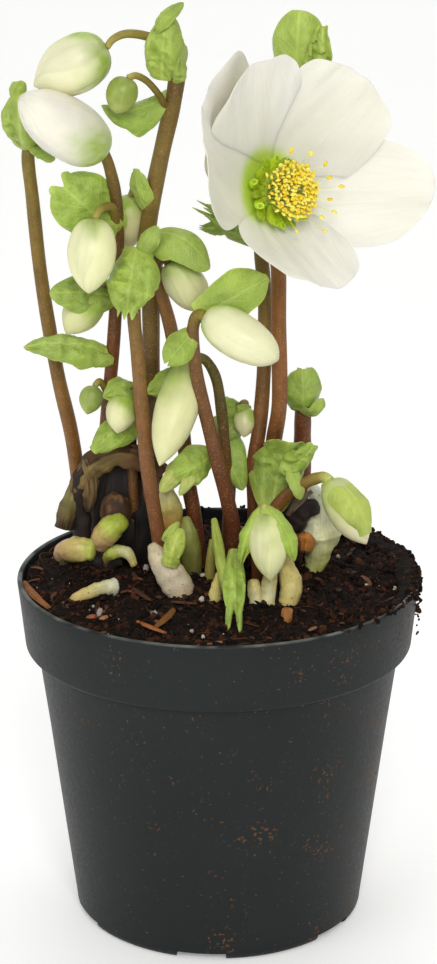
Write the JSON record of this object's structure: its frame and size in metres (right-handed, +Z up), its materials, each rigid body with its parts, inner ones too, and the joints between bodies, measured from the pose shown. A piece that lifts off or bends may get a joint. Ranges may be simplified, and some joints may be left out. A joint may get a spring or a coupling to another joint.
{
  "type": "potted christmas rose",
  "caption": "Potted Christmas rose: a round tapered nursery pot of compost with brown stalks, leafy bracts, nodding closed buds and an open white flower.",
  "frame": {"origin": "middle of the flat pad under the pot, on the surface it stands on", "axes": "+Z up along the plant, +X to the right and +Y to the back as seen in the picture"},
  "size_m": [0.1254, 0.12, 0.2776],
  "materials": {
    "pot_plastic": "dark anthracite moulded plastic, semi-matt, with soil splashes",
    "compost": "dark damp peat compost with bark fibres and perlite",
    "stem": "red-brown fleshy stalks that turn olive near the top, with yellow-green bracts",
    "bud": "cream sepals, green near the neck, satin",
    "petal": "warm white petal-like sepals with faint veins, satin",
    "nectary": "bright yellow-green, satin",
    "stamen": "golden yellow pollen, matt",
    "carpel": "pale yellow-green, satin",
    "shoot": "pale fleshy young shoots, satin",
    "husk": "dry brown old leaf bases, matt"
  },
  "bodies": {
    "root": {"pot": "pot_plastic", "soil": "compost", "stalk_far_left": "stem", "stalk_two_buds": "stem", "stalk_tall": "stem", "stalk_centre_left": "stem", "stalk_shaded": "stem", "stalk_fore": "stem", "stalk_arching": "stem", "stalk_bloom": "stem", "stalk_behind_bloom": "stem", "stalk_right_short": "stem", "stalk_right_low": "stem", "stalk_front_low": "stem", "stalk_back_left": "stem", "stalk_back_right": "stem", "leaf_front": "stem", "bud_far_left": "bud", "bud_upper_white": "bud", "bud_small_green": "bud", "bud_behind_tall": "bud", "bud_lower_white": "bud", "bud_yellow": "bud", "bud_low_left": "bud", "bud_tiny": "bud", "bud_shaded": "bud", "bud_fore": "bud", "bud_long": "bud", "bud_right": "bud", "bud_front": "bud", "bud_back_left": "bud", "bud_back_right": "bud", "bloom_sepals": "petal", "bloom_nectaries": "nectary", "bloom_stamens": "stamen", "bloom_carpels": "carpel", "old_leaf_base": "husk", "old_crown_knob": "husk", "old_husk_right": "husk", "old_stub_right": "husk", "old_stub_front": "husk", "shoot_sheath": "shoot", "shoot_left_lying": "shoot", "shoot_left_back": "shoot", "shoot_left_curled": "shoot", "shoot_front_lying": "shoot", "shoot_pale_bulb": "shoot", "shoot_translucent": "shoot", "shoot_small_pale": "shoot", "shoot_forked_right": "shoot", "shoot_forked_left": "shoot", "shoot_pale_right": "shoot", "shoot_white_knob": "shoot"}
  },
  "joints": []
}
